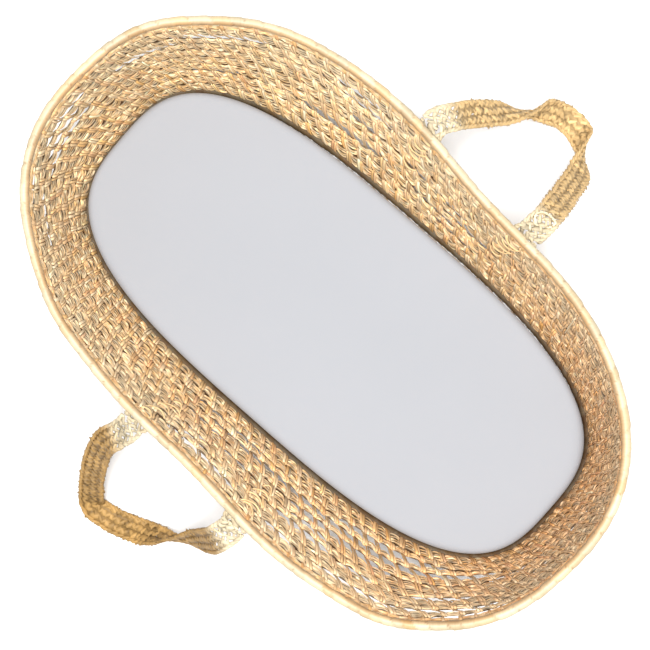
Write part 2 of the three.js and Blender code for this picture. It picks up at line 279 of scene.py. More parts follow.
base_ring = oval(
    border_high[0] - BORDER_ROLL / 2, border_high[1] - BORDER_ROLL / 2, BASE_POWER,
)
rim_half_length = (RIM_LENGTH - RIM_ROLL) / 2
rim_half_width = (RIM_WIDTH - RIM_ROLL) / 2


def rim_pull(turn):
    """How far the rim stands out of its oval at a share of the way round."""
    total = np.zeros_like(turn)
    for centre, reach, pull in RIM_PULLS:
        total += pull * np.exp(-((turn - centre - np.round(turn - centre)) / reach) ** 2)
    return total


rim_ring = oval(rim_half_length, rim_half_width, RIM_POWER, RIM_TURN)
rim_ring += outwards(rim_ring) * rim_pull(np.arange(FINE) / FINE)[:, None]
rim_ring[:, 2] = HINGE_HEIGHT + END_RISE * (rim_ring[:, 0] / rim_half_length) ** 2
wall_foot = base_ring + [0, 0, BORDER_ROLL]
foot_out = outwards(base_ring)
head_out = outwards(rim_ring)
wall_head = rim_ring - head_out * WALL_SET_IN - [0, 0, RIM_ROLL / 2]
wall_slant = np.linalg.norm(wall_head - wall_foot, axis=1)[:, None]
PERIMETER = np.linalg.norm(np.diff(wall_head, axis=0), axis=1).sum()
BAND_SHARE = 1 - RIM_BAND / (HINGE_HEIGHT - RIM_ROLL / 2 - BORDER_ROLL)


def short_way(turn, centre):
    """How far round a place is from another, the short way, as a share of the way round."""
    return turn - centre - np.round(turn - centre)


def hill(turn, centre, reach):
    return np.exp(-(short_way(turn, centre) / reach) ** 2)


def sag_wave(turn, rise):
    """The hand-made unevenness of the rounds, in metres up the wall."""
    wave = 1.5 * np.sin(2 * math.pi * (3 * turn + 0.13) + 4 * rise)
    wave += 1.0 * np.sin(2 * math.pi * (7 * turn + 0.41) - 6 * rise)
    wave += 0.7 * np.sin(2 * math.pi * (17 * turn + 0.77) + 9 * rise)
    wave += 12 * hill(turn, 0.885, 0.035) - 6 * hill(turn, 0.95, 0.02)
    wave -= 10 * hill(turn, 0.44, 0.035) * np.clip(rise, 0, 1)
    return wave * MM * np.sin(math.pi * np.clip(rise, 0, 1))


def wall_place(turn, rise, depth):
    """A point on the wall: share round it, share up it, and distance out of its middle."""
    turn, rise, depth = np.broadcast_arrays(turn, rise, depth)
    lifted = rise + sag_wave(turn, rise) / around(wall_slant, turn)[..., 0]
    low, high = around(wall_foot, turn), around(wall_head, turn)
    part = lifted[..., None]
    out = unit(around(foot_out, turn) * (1 - part) + around(head_out, turn) * part)
    swell = WALL_BULGE * np.sin(math.pi * part)
    return low * (1 - part) + high * part + out * (swell + depth[..., None])


def wall_frame(turn, rise, depth):
    """Place, direction round, direction up the wall, direction out of it."""
    step = 1e-4
    place = wall_place(turn, rise, depth)
    along = unit(wall_place(turn + step, rise, depth) - place)
    upward = unit(wall_place(turn, rise + step, depth) - place)
    out = unit(np.cross(along, upward))
    return place, along, upward, out


def bumpy(turn, waves, seed, cycles):
    """Smooth unevenness from -1 to 1 that closes on itself round the basket."""
    source = np.random.default_rng(seed)
    total = np.zeros_like(turn)
    for _ in range(waves):
        frequency = source.integers(cycles[0], cycles[1])
        total += np.sin(2 * math.pi * (frequency * turn + source.random()))
    return total / math.sqrt(waves)


# Where a round has pulled away from the round above it: the number of the round, then the
# share of the way round, the reach to each side, and how wide the gap gapes from 0 to 1
GAPS = {
    8: [(0.57, 0.012, 0.4), (0.945, 0.025, 0.5)],
    7: [
        (0.328, 0.016, 0.45), (0.417, 0.03, 0.45), (0.526, 0.022, 0.5), (0.74, 0.02, 0.45),
        (0.766, 0.02, 0.5), (0.82, 0.012, 0.5), (0.87, 0.02, 0.55), (0.926, 0.035, 0.6),
    ],
    6: [
        (0.32, 0.022, 0.6), (0.465, 0.02, 0.6), (0.531, 0.016, 1.0), (0.585, 0.018, 0.5),
        (0.74, 0.015, 0.4),
    ],
    5: [
        (0.53, 0.025, 0.7), (0.83, 0.022, 0.9), (0.922, 0.02, 0.6), (0.87, 0.012, 0.5),
        (0.985, 0.012, 0.4), (0.74, 0.012, 0.3),
    ],
    4: [
        (0.012, 0.014, 0.5), (0.24, 0.01, 0.5), (0.275, 0.015, 0.4), (0.316, 0.014, 0.5),
        (0.77, 0.012, 0.4), (0.83, 0.014, 0.6),
    ],
    3: [(0.225, 0.02, 0.6), (0.85, 0.035, 0.9), (0.96, 0.015, 0.4), (0.74, 0.02, 0.3)],
    2: [
        (0.24, 0.01, 0.5), (0.26, 0.01, 0.5), (0.33, 0.028, 0.9), (0.84, 0.1, 0.7),
        (0.935, 0.015, 0.6), (0.42, 0.02, 0.3),
    ],
    1: [(0.23, 0.02, 0.4), (0.88, 0.04, 0.8), (0.75, 0.03, 0.4)],
}
TIGHT = 0.13  # how loose the weave is where no gap gapes


def looseness(turn, course):
    total = TIGHT + 0.05 * bumpy(turn, 5, 11 + course, (4, 60))
    for centre, reach, strength in GAPS.get(course, []):
        gape = strength * (1.35 if course > 6 else 1.15)
        total = total + gape * np.exp(-(short_way(turn, centre) / reach) ** 4)
    return np.clip(total, 0, 1)


def strip_pitch(turn):
    """From one binding strip to the next, in metres: closer set at the ends of the basket."""
    pitch = 23 - 9 * hill(turn, 0.04, 0.11) - 8 * hill(turn, 0.46, 0.05)
    return (pitch - 4 * hill(turn, 0.62, 0.04)) * MM


ring_turns = np.arange(FINE + 1) / FINE
bays_reached = np.concatenate([[0], np.cumsum(PERIMETER / FINE / strip_pitch(ring_turns[:-1]))])
BAYS = int(round(bays_reached[-1]))  # binding strips in each round of the wall
bays_reached *= BAYS / bays_reached[-1]


def bay_at(turn):
    """How many bays are passed on the way round to a place."""
    return np.floor(turn) * BAYS + np.interp(np.mod(turn, 1), ring_turns, bays_reached)


def turn_at(bay):
    return np.floor(bay / BAYS) + np.interp(np.mod(bay, BAYS), bays_reached, ring_turns)


# ---- straw pieces
def straw_tone(turn, source, jitter=0.12, golden=0.0):
    """Colour of the leaf at a place on the wall, with chance variation, darker towards the foot
    end partly as painted shade.
    """
    pick = np.clip(source.normal(0.35 + golden, 0.3, turn.shape), 0, 1)
    rosy = np.clip(source.normal(0.2 + golden, 0.3, turn.shape), 0, 1)
    tone = WHEAT * (1 - pick[..., None]) + GOLD * pick[..., None]
    tone = tone * (1 - rosy[..., None]) + TAN * rosy[..., None]
    pale = np.clip(source.normal(0.25 - golden, 0.35, turn.shape), 0, 1)[..., None]
    tone = tone * (1 - pale) + CREAM * pale
    tone = tone * (1 + source.normal(0, jitter, turn.shape))[..., None]
    # Darker towards the foot end: partly browner leaf, partly painted shade.
    tone = tone * (1 - tan_and_shade_share(turn)[..., None] * FOOT_SHADE)
    return np.clip(tone, 0.02, 1)


FOOT_SHADE = np.array([0.08, 0.21, 0.27])  # how much darker the leaf is at the foot end: partly browner leaf, partly painted shade


def tan_and_shade_share(turn):
    """How much darker the leaf is there, from 0 to 1: partly browner leaf, partly painted shade.
    """
    return hill(turn, 0.03, 0.17) + 0.3 * hill(turn, 0.72, 0.16)


def smooth_bays(values, samples):
    """Random values, one for each bay, spread smoothly over the samples round the wall."""
    place = samples * len(values)
    step = np.floor(place).astype(int)
    part = (place - step)
    part = part * part * (3 - 2 * part)
    shape = (len(samples),) + (1,) * (values.ndim - 1)
    part = part.reshape(shape)
    return values[step % len(values)] * (1 - part) + values[(step + 1) % len(values)] * part


def add_strand(
        pieces, rise, depth, half_height, half_depth, source, pale=0.0, open_share=0.5, sides=8,
):
    """One leaf strand all the way round the wall, at a share up it for each sample round it."""
    turn = np.arange(len(rise)) / len(rise)
    wobble = smooth_bays(source.normal(0, 0.35, BAYS * 3), turn) * MM
    place, _, upward, out = wall_frame(turn, rise, depth + wobble)
    thick = 1 + 0.16 * smooth_bays(source.normal(0, 1, BAYS * 3), turn)
    points, angle = tube(place, upward, out, half_height * thick, half_depth * thick, sides)
    bay_tones = straw_tone(np.arange(BAYS * 5) / BAYS / 5, source, 0.2) * STRAND_SHADE
    bay_tones = bay_tones * (1 - pale) + CREAM * pale * source.normal(1, 0.15, (BAYS * 5, 1))
    # Painted shade: random dark dashes on each strand's top edge, weaker on its lower edge, for
    # the shade in the slits between strands.
    tucked = np.clip(np.cos(angle), 0, 1) ** 2 + 0.5 * np.clip(-np.cos(angle), 0, 1) ** 3
    slits = np.clip(smooth_bays(source.random(BAYS * 2), turn) * 3.2 - 0.55, 0, 1)
    dark = np.clip(EDGE_SHADE * open_share * slits, 0, 0.95)
    tone = smooth_bays(bay_tones, turn)[:, None] * (1 - dark[:, None] * tucked[None])[..., None]
    along = (turn * PERIMETER)[:, None] + source.random()
    fibre = fibre_run(points, along, angle * 1.6 * MM + source.random())
    pieces.grid(points, tone, fibre, closed=True)


STRANDS = 4
STRAND_SHADE = 1.14  # how much brighter a strand is than the leaf's own tone
DEEP_SHADE = np.array([0.10, 0.065, 0.04])  # painted shade: a dark band behind the strands that stands for the shade seen through the slits between them
SAMPLES = BAYS * 8  # of each strand round the wall
EDGE_SHADE = 0.92  # painted shade: how much darker a strand's edges can be where it tucks under the next, for the shade in the slits
LEAST_SPACING = 2.5 * MM
course_share = BAND_SHARE / COURSES


def bundle(course, turn):
    """Where the bundle of strands of one round starts, and the spacing of its strands."""
    slant = around(wall_slant, turn)[..., 0]
    loose = looseness(turn, course)
    spacing = course_share * slant / STRANDS * (1 - loose) + LEAST_SPACING * loose
    return course * course_share * slant, spacing, slant


def near_strip(course, turn, offset):
    """From 0 to 1, how close a place is to a binding strip; offset is its height in the round."""
    bay = bay_at(turn - STRIP_LEAN * offset / PERIMETER) - course_phase(course)
    away = np.abs(bay - np.round(bay))
    return np.exp(-(away / 0.22) ** 2)


def paleness(course):
    """The upper rounds are paler."""
    return 0.45 * max(0, course - 3) / (COURSES - 4)


def course_phase(course):
    return 0.5 * (course % 2) + 0.13 * math.sin(2.4 * course)


def add_bundle(pieces, course, source):
    """The strands of one round: gathered under each strip, and parted by slits between."""
    turn = np.arange(SAMPLES) / SAMPLES
    start, spacing, slant = bundle(course, turn)
    for number in range(STRANDS):
        offset = (number + 0.5 - STRANDS / 2) * spacing
        gathered = near_strip(course, turn, offset)
        waver = 0.45 * MM * bumpy(turn, 8, 100 * course + number, (30, 140))
        height = start + STRANDS / 2 * spacing + offset * (1 - 0.2 * gathered)
        height += waver * (1 - gathered)
        half_height = np.minimum(spacing * (0.31 + 0.14 * gathered), 2.5 * MM)
        depth = (-0.9 + 1.9 * gathered) * MM
        add_strand(
            pieces, height / slant, depth, half_height, 1.2 * MM, source, paleness(course),
            1.3 - 1.3 * gathered,
        )
    # The dark band behind the strands: painted shade seen through the slits between them.
    tight = np.clip((0.4 - looseness(turn, course)) * 12, 0, 1)
    crest = start + (STRANDS - 0.45) * spacing
    crest += tight * (course_share * slant - (STRANDS - 0.6) * spacing)
    edges = np.stack([start + 0.45 * spacing, crest], axis=1)
    corners = []
    for column, depth in ((0, 0.5), (0, 0.9), (1, 0.9), (1, 0.5)):
        corners.append(wall_place(turn, edges[:, column] / slant, np.full(SAMPLES, depth * MM)))
    tone = smooth_bays(straw_tone(np.arange(BAYS) / BAYS, source), turn)[:, None] * DEEP_SHADE
    points = np.stack(corners, axis=1)
    pieces.grid(points, tone, np.zeros(points.shape), closed=True)


def add_strips(pieces, course, source):
    """The slanted leaf strips that bind one round to the round below it."""
    bay = np.arange(BAYS) + course_phase(course)
    turn = turn_at(bay + source.normal(0, 0.07, BAYS))
    bottom, spacing, slant = bundle(course, turn)
    top = bottom + STRANDS * spacing
    if course:
        start_under, spacing_under, _ = bundle(course - 1, turn)
        top_under = start_under + STRANDS * spacing_under
    else:
        top_under, spacing_under = bottom - 3 * MM, spacing
    bottom_under = top_under - 1.8 * spacing_under
    height = np.stack([
        top - 0.3 * MM, top + 0.3 * MM, top - 0.6 * spacing, 0.5 * (top + bottom),
        bottom + 0.5 * spacing, bottom, 0.5 * (bottom + top_under), top_under,
        top_under - 0.5 * spacing_under, bottom_under, bottom_under - 0.2 * MM,
    ], axis=1)
    depth = np.array([0.2, -0.9, -2.1, -2.3, -2.1, -1.2, 0.0, 1.2, 2.1, 1.9, 0.3]) * MM
    depth = depth[None] + source.normal(0, 0.15 * MM, (BAYS, 1))
    lean = STRIP_LEAN * (1 + source.normal(0, 0.18, (BAYS, 1)))
    middle = 0.5 * (top + bottom)[:, None]
    pitch = strip_pitch(turn)[:, None]
    for beside in (-1, 1):
        sideways = lean * (height - middle) + source.normal(0, 0.3 * MM, height.shape)
        sideways += beside * (0.095 + source.normal(0, 0.012, (BAYS, 1))) * pitch
        layer = depth + beside * 0.25 * MM
        width = (0.185 + source.normal(0, 0.035, (BAYS, 1))) * pitch
        tones = straw_tone(turn, source, 0.15, golden=0.04) * 1.1
        tones = tones * (1 - 0.8 * paleness(course)) + CREAM * 0.8 * paleness(course)
        add_leaves(pieces, turn, slant, height, sideways, layer, width, tones)


LEAF_TAPER = np.array([0.55, 0.9, 1.0, 1.05, 1.0, 0.95, 0.88, 0.9, 0.95, 0.8, 0.4])
# Painted shade along each strip: darker at its ends, where it goes in under the strands, and
# where it crosses from one round to the next.
LEAF_SHADE = np.array([0.6, 0.9, 1, 1, 1, 0.92, 0.8, 0.9, 1, 0.8, 0.5])


def add_leaves(pieces, turn, slant, height, sideways, depth, width, tones, sides=6):
    """Flat leaves up the wall, one for each bay, through rows of heights and depths."""
    place, along, _, _ = wall_frame(
        turn[:, None] + sideways / PERIMETER, height / slant[:, None], depth,
    )
    face = unit(np.cross(along, unit(np.gradient(place, axis=1))))
    points, angle = tube(place, along, face, 0.5 * (width * LEAF_TAPER), 0.6 * MM, sides)
    # Painted shade along each leaf's side edges.
    edge_shade = 1 - 0.42 * np.abs(np.cos(angle)) ** 4
    shade = edge_shade[None, :, None] * LEAF_SHADE[:, None, None]
    for k in range(len(turn)):
        across = (np.cos(angle) * width[k] / 2)[None, :] + k
        fibre = fibre_run(points[k], height[k][:, None] + k, across)
        pieces.grid(points[k], np.clip(tones[k], 0, 1) * shade, fibre)


def make_course(course):
    source = np.random.default_rng(300 + course)
    pieces = Pieces()
    add_bundle(pieces, course, source)
    add_strips(pieces, course, source)
    node = f"wall_course_{course + 1:02d}"
    pieces.build(f"round_{course + 1:02d}", STRAW, "basket", "woven_straw", node)


for course in range(COURSES):
    make_course(course)


# ---- band under the rim
def make_rim_band():
    source = np.random.default_rng(41)
    pieces = Pieces()
    strands = 3
    share = (1 - BAND_SHARE) / strands
    samples = np.arange(SAMPLES) / SAMPLES
    for number in range(strands):
        rise = BAND_SHARE + (number + 0.5) * share + 0 * samples
        half_height = 0.5 * share * around(wall_slant, samples)[:, 0]
        add_strand(pieces, rise, 0 * samples, half_height, 1.7 * MM, source)
    turn = turn_at(np.arange(BAYS) + source.normal(0, 0.12, BAYS))
    slant = around(wall_slant, turn)[:, 0]
    rise = BAND_SHARE + np.linspace(-0.35, 1.05, 7)[None] * (1 - BAND_SHARE)
    depth = np.array([0.0, -1.6, -2.3, -2.4, -2.3, -2.0, -0.6]) * MM
    sideways = STRIP_LEAN * 0.5 * (rise - BAND_SHARE) * slant[:, None]
    place, along, _, _ = wall_frame(turn[:, None] + sideways / PERIMETER, rise, depth[None])
    face = unit(np.cross(along, unit(np.gradient(place, axis=1))))
    width = (4.2 + source.normal(0, 1.0, (BAYS, 1))) * MM
    half_width = 0.5 * np.broadcast_to(width, place.shape[:2])
    points, angle = tube(place, along, face, half_width, 0.55 * MM, 6, 0.5)
    tones = straw_tone(turn, source, 0.06)
    for k in range(BAYS):
        run = np.linspace(0, 0.015, 7)[:, None] + k
        fibre = fibre_run(points[k], run, np.cos(angle)[None] * width[k, 0] / 2)
        pieces.grid(points[k], tones[k], fibre)
    pieces.build("under_rim_band", STRAW, "basket", "woven_straw", "rim_band")


make_rim_band()


# ---- wrapped rim and base border
def wrapped_roll(ring, out, radius, wraps, slant, ridge, source, tones, sides=14, per_wrap=7):
    """A roll wound with leaf: each turn of leaf starts proud of the one before it."""
    steps = wraps * per_wrap
    turn = np.arange(steps) / steps
    place = around(ring, turn)
    aside = around(out, turn)
    along = unit(np.roll(place, -1, axis=0) - np.roll(place, 1, axis=0))
    upward = unit(np.cross(aside, along)) * -1
    aside = unit(np.cross(upward, along)) * -1
    angle = np.arange(sides) / sides * 2 * math.pi
    edges = np.cumsum(source.uniform(0.55, 1.45, wraps))
    edges = np.concatenate([[0], edges / edges[-1]])
    lag = slant * (angle / (2 * math.pi)) / wraps
    local = np.mod(turn[:, None] + lag[None], 1.0)
    wrap = np.clip(np.searchsorted(edges, local, side="right") - 1, 0, wraps - 1)
    part = (local - edges[wrap]) / (edges[wrap + 1] - edges[wrap])
    swell = ridge * (0.5 - part) + 0.25 * ridge * source.normal(0, 1, wraps)[wrap]
    swell -= ridge * 1.2 * np.exp(-(part / 0.06) ** 2)
    reach = (radius + swell)[..., None]
    points = place[:, None] + reach * (
        aside[:, None] * np.cos(angle)[None, :, None]
        + upward[:, None] * np.sin(angle)[None, :, None]
    )
    tone = tones(wraps, source)[wrap]
    seam_depth = source.uniform(0.3, 1.2, wraps)
    seam = 0.5 * np.exp(-(part / 0.06) ** 2) * seam_depth[wrap]
    tone = tone * (1 - seam[..., None] * np.array([0.7, 0.9, 1.0]))
    fibre = fibre_run(points, angle[None] * radius, (turn * PERIMETER)[:, None] * 0.5)
    return points, tone, fibre


RIM_SHADE = 0.62  # keeps the pale leaf from burning out under the light


def rim_tones(count, source):
    pick = np.clip(source.normal(0.25, 0.3, count), 0, 1)[:, None]
    tone = CREAM * (1 - pick) + WHEAT * pick
    return np.clip(tone * (RIM_SHADE + source.normal(0, 0.05, (count, 1))), 0, 1)


BORDER_SHADE = 0.14  # painted shade: the border roll is darkened to stand for the shade in the gap between the mattress and the wall


def border_tones(count, source):
    return straw_tone(np.arange(count) / count, source, 0.1) * BORDER_SHADE


def make_rim():
    source = np.random.default_rng(52)
    pieces = Pieces()
    points, tone, fibre = wrapped_roll(
        rim_ring, head_out, RIM_ROLL / 2 - 1.5 * MM, 112, 1.1, 0.8 * MM, source, rim_tones,
        per_wrap=9,
    )
    outer = np.arange(points.shape[1]) / points.shape[1] * 2 * math.pi
    # Painted shade: a darker band round the rim roll's inner side.
    under = np.clip(np.cos(outer + 0.55), 0, 1) ** 6
    tone = tone * (1 - under[None, :, None] * np.array([0.25, 0.42, 0.55]))
    pieces.grid(points, tone, fibre, closed=True)
    pieces.build("wrapped_rim", RIM_STRAW, "basket", "rim_straw", "rim_wrap", "rim_cane")


def make_border():
    source = np.random.default_rng(53)
    pieces = Pieces()
    middle = base_ring + [0, 0, BORDER_ROLL / 2]
    points, tone, fibre = wrapped_roll(
        middle, foot_out, BORDER_ROLL / 2 - 0.3 * MM, 190, 2.0, 0.8 * MM, source, border_tones,
        per_wrap=5, sides=12,
    )
    pieces.grid(points, tone, fibre, closed=True)
    pieces.build("whipped_border", STRAW, "basket", "woven_straw", "base_border")


make_rim()
make_border()


# ---- base mat
def make_base_mat():
    """Flat plaits laid round and round, from the border to the middle."""
    source = np.random.default_rng(61)
    pieces = Pieces()
    half_length, half_width = mat_high[0], mat_high[1]
    plait = 9 * MM
    rounds = int(half_width / plait)
    middle_height = (mat_low[2] + mat_high[2]) / 2
    steps = 240
    turn = np.arange(steps) / steps
    for number in range(rounds):
        inset = (number + 0.5) * plait
        power = 2 + (BASE_POWER - 2) * (1 - number / rounds)
        ring = oval(half_length - inset, half_width - inset, power)
        place = around(ring, turn) + [0, 0, middle_height]
        aside = around(outwards(ring), turn)
        swell = 1 + 0.12 * np.sin(2 * math.pi * turn * 90 * (1 - 0.6 * number / rounds))
        half_height = 0.46 * (mat_high[2] - mat_low[2])
        points, angle = tube(place, aside, UPWARD, plait * 0.5 * swell, half_height, 8, 0.5)
        tone = smooth_bays(straw_tone(np.arange(80) / 80, source), turn)[:, None]
        fibre = fibre_run(points, (turn * PERIMETER)[:, None], angle[None] * plait / 2)
        pieces.grid(points, tone, fibre, closed=True)
    pieces.build("plaited_mat", STRAW, "basket", "woven_straw", "base_mat")


make_base_mat()


# ---- straps
# Each point of a strap's middle line, in millimetres: along the rim and away from it, its fall
# as a share of the whole fall to the floor, and the strap's twist in degrees.
LEFT_LOOP = [
    (-70, 0, 0, 0), (-70, 10, 0.04, 0), (-62, 30, 0.13, 0), (-52, 53, 0.27, 0),
    (-35, 86, 0.51, 12), (-16, 122, 0.735, 80), (-2, 144, 0.87, 145), (18, 158, 0.96, 178),
    (43, 161, 0.985, 172), (65, 148, 0.9, 100), (83, 119, 0.74, 22), (90, 86, 0.52, 0),
    (95, 54, 0.27, 0), (98, 30, 0.1, 0), (98, 11, 0.04, 0), (98, 0, 0, 0),
]
RIGHT_LOOP = [
    (-66, 0, 0, 0), (-66, 10, 0.04, 0), (-71, 29, 0.12, 0), (-78, 49, 0.24, 0),
    (-76, 88, 0.52, 0), (-63, 129, 0.8, 0), (-45, 154, 0.965, 0), (-17, 151, 0.99, 0),
    (16, 137, 0.98, 12), (42, 119, 0.91, 48), (64, 99, 0.78, 100), (86, 64, 0.48, 160),
    (99, 33, 0.14, 180), (103, 11, 0.04, 180), (103, 0, 0, 180),
]
STRAP_WIDTH = 36 * MM
LOOP_FALL = HINGE_HEIGHT - 5 * MM
along_rim = np.array([math.cos(RIM_TURN), math.sin(RIM_TURN), 0])
across_rim = np.array([-math.sin(RIM_TURN), math.cos(RIM_TURN), 0])


def hinge_line(side, joint):
    """How far out a handle's hinge line is at the basket's middle, and its growth along it."""
    axis = np.array(joint["axis"])
    middle = side * np.dot(joint["pos_m"][:2], across_rim[:2])
    return middle, side * np.dot(axis, across_rim) / np.dot(axis, along_rim)


hinge_lines = {1: hinge_line(1, hinge["left"]), -1: hinge_line(-1, hinge["right"])}


def from_hinge(side, along, away, rise):
    middle, growth = hinge_lines[side]
    place = np.multiply.outer(along, along_rim)
    reach = middle + growth * np.asarray(along) + away
    place = place + np.multiply.outer(side * reach, across_rim)
    return place + np.multiply.outer(HINGE_HEIGHT + rise, UPWARD)


def catmull(points, where):
    """A centripetal Catmull-Rom curve through points, at places counted in points."""
    points = np.asarray(points, float)
    points = np.vstack([2 * points[0] - points[1], points, 2 * points[-1] - points[-2]])
    gaps = np.sqrt(np.linalg.norm(np.diff(points, axis=0), axis=1))
    k = np.clip(np.floor(where).astype(int), 0, len(points) - 4)
    t = (where - k)[:, None]
    a, b, c, d = (points[k + i] for i in range(4))
    d0, d1, d2 = (gaps[k + i][:, None] for i in range(3))
    leave = ((b - a) / d0 - (c - a) / (d0 + d1) + (c - b) / d1) * d1
    reach = ((c - b) / d1 - (d - b) / (d1 + d2) + (d - c) / d2) * d1
    return (
        b * (2 * t ** 3 - 3 * t ** 2 + 1) + leave * (t ** 3 - 2 * t ** 2 + t)
        + c * (3 * t ** 2 - 2 * t ** 3) + reach * (t ** 3 - t ** 2)
    )


class Ribbon:
    """A band that follows a line: place(length along it, across it, out of its face)."""

    def __init__(self, line, width, face):
        steps = np.linalg.norm(np.diff(line, axis=0), axis=1)
        self.reached = np.concatenate([[0], np.cumsum(steps)])
        self.length = self.reached[-1]
        self.line, self.width, self.face = line, width, face

    def at(self, values, distance):
        flat = np.ravel(distance)
        found = [np.interp(flat, self.reached, values[:, axis]) for axis in range(3)]
        return np.stack(found, axis=-1).reshape(np.shape(distance) + (3,))

    def place(self, distance, across, out):
        distance, across, out = np.broadcast_arrays(distance, across, out)
        middle = self.at(self.line, distance)
        return (
            middle + self.at(self.width, distance) * across[..., None]
            + self.at(self.face, distance) * out[..., None]
        )


def strap_ribbon(side, loop):
    loop = np.array(loop, float)
    where = np.linspace(0, len(loop) - 1, 1200)
    stations = from_hinge(side, loop[:, 0] * MM, loop[:, 1] * MM, -loop[:, 2] * LOOP_FALL)
    line = catmull(stations, where)
    numbers = np.arange(len(loop), dtype=float)
    twist = np.radians(catmull(np.column_stack([numbers, loop[:, 3]]), where)[:, 1])
    ahead = unit(np.gradient(line, axis=0))
    level = unit(np.cross(ahead, [0, 0, 1.0]))
    upper = unit(np.cross(level, ahead))
    c, s = np.cos(twist)[:, None], np.sin(twist)[:, None]
    return Ribbon(line, level * c + upper * s, upper * c - level * s)


def add_cord_line(pieces, ribbon, distance, across, out, wide, thick, tone):
    """A strand that runs along a ribbon: across, out, wide and thick are given at distance."""
    place = ribbon.place(distance, across, out)
    ahead = unit(np.gradient(place, axis=0))
    face = unit(ribbon.at(ribbon.face, distance))
    aside = unit(np.cross(face, ahead))
    face = unit(np.cross(ahead, aside))
    points, angle = tube(place, aside, face, wide, thick, 6, 0.5)
    fibre = fibre_run(points, distance[:, None], angle[None] * 1.5 * MM)
    pieces.grid(points, tone[:, None], fibre)


PLAIT_PITCH = 11 * MM  # along a strap, from one slanting leaf to the next
PLAIT_SLOPE = 1.05  # how far a leaf runs along the strap for each unit across it
LEAF_WIDTH = 8.3 * MM


def add_edge_cords(pieces, ribbon, tones, source, half):
    """Two twisted strands along each edge of a band."""
    distance = np.append(np.arange(0, ribbon.length, 2.1 * MM), ribbon.length)
    stations = np.linspace(0, ribbon.length, 40)
    for edge in (-1, 1):
        bulge = 0.8 * MM * np.interp(distance, stations, source.normal(0, 0.8, 40))
        for turn in (0, math.pi):
            twist = distance / (17 * MM) * 2 * math.pi * edge + turn
            across = edge * (half - 2.9 * MM) - np.abs(bulge) * edge + 1.1 * MM * np.cos(twist)
            out = 1.0 * MM * np.sin(twist)
            tone = tones(distance) * (1 + source.normal(0, 0.1, (len(distance), 1)))
            add_cord_line(pieces, ribbon, distance, across, out, 2.0 * MM, 1.5 * MM, tone)


def leaf_on_band(here, spread, length):
    """The part of a slanting leaf that is on the band, or nothing if too little of it is."""
    if here[0] >= 0 and here[-1] <= length:
        return here, spread
    clipped = np.clip(here, 0.3 * MM, length - 0.3 * MM)
    keep = np.abs(clipped - here) < 4 * MM
    return (clipped[keep], spread[keep]) if keep.sum() >= 4 else None


def add_plait_leaf(pieces, ribbon, here, spread, way, number, tones, source, leaf_width):
    """One leaf across the band: here is along it, spread across it, way the side it slants to."""
    crossing = here / PLAIT_PITCH + spread * PLAIT_SLOPE / PLAIT_PITCH
    weave = way * np.cos(math.pi * (crossing + number))
    out = (1.25 * weave + source.normal(0, 0.25)) * MM
    centre = ribbon.place(here, way * spread, out)
    path = unit(np.gradient(centre, axis=0))
    aside = unit(np.cross(ribbon.at(ribbon.face, here), path))
    face = unit(np.cross(path, aside))
    pinch = 1 + 0.16 * weave * way + 0.12 * np.sin(source.random() * 6 + 2 * crossing)
    width = leaf_width(here) * pinch * np.clip(1 + source.normal(0, 0.25), 0.5, 1.35)
    points, angle = tube(centre, aside, face, 0.5 * width, 0.55 * MM, 6, 0.5)
    tone = tones(here) * (1.08 + source.normal(0, 0.14))
    # A few leaves darkened at random: painted shade of the holes in the plait.
    tone = tone * (1 - 0.55 * (source.random((len(here), 1)) < 0.07))
    # Painted shade along each leaf's side edges.
    shade = 1 - 0.5 * np.abs(np.cos(angle)) ** 4
    across = np.cos(angle)[None] * 3 * MM + number
    fibre = fibre_run(points, spread[:, None] + number, across)
    pieces.grid(points, tone[:, None] * shade[None, :, None], fibre)


def add_plait(pieces, ribbon, tones, source, half, leaf_width):
    """Leaves that slant across the band both ways, over one and under the next."""
    reach = half - 2.2 * MM
    run = 2 * reach * PLAIT_SLOPE
    across = np.linspace(-reach, reach, 15)
    for way in (-1, 1):
        for number in range(int((ribbon.length + run) / PLAIT_PITCH)):
            middle = (number + 0.5 + source.normal(0, 0.15)) * PLAIT_PITCH - run / 2
            on_band = leaf_on_band(middle + (across + reach) * PLAIT_SLOPE, across, ribbon.length)
            if on_band:
                here, spread = on_band
                add_plait_leaf(
                    pieces, ribbon, here, spread, way, number, tones, source, leaf_width,
                )


def add_strap_weave(pieces, ribbon, tones, source, shade_backed=(0, 0)):
    """A flat plait between two border cords, with dark cords behind it over the shade-backed
    span: painted shade of its holes.
    """
    def leaf_width(distance):
        inside = np.clip(np.minimum(distance - shade_backed[0], shade_backed[1] - distance) / (15 * MM), 0, 1)
        return LEAF_WIDTH * (0.66 + 0.34 * inside) if shade_backed[1] > shade_backed[0] else LEAF_WIDTH * 0.8

    half = STRAP_WIDTH / 2
    add_edge_cords(pieces, ribbon, tones, source, half)
    add_plait(pieces, ribbon, tones, source, half, leaf_width)
    if shade_backed[1] > shade_backed[0]:
        # Dark cords behind the plait: painted shade seen through its holes.
        inner = np.arange(shade_backed[0], shade_backed[1], 2.5 * MM)
        tone = tones(inner) * 0.62
        for edge in (-1, 1):
            add_cord_line(
                pieces, ribbon, inner, edge * 0.4 * half, 0, 0.42 * half, 0.25 * MM, tone,
            )


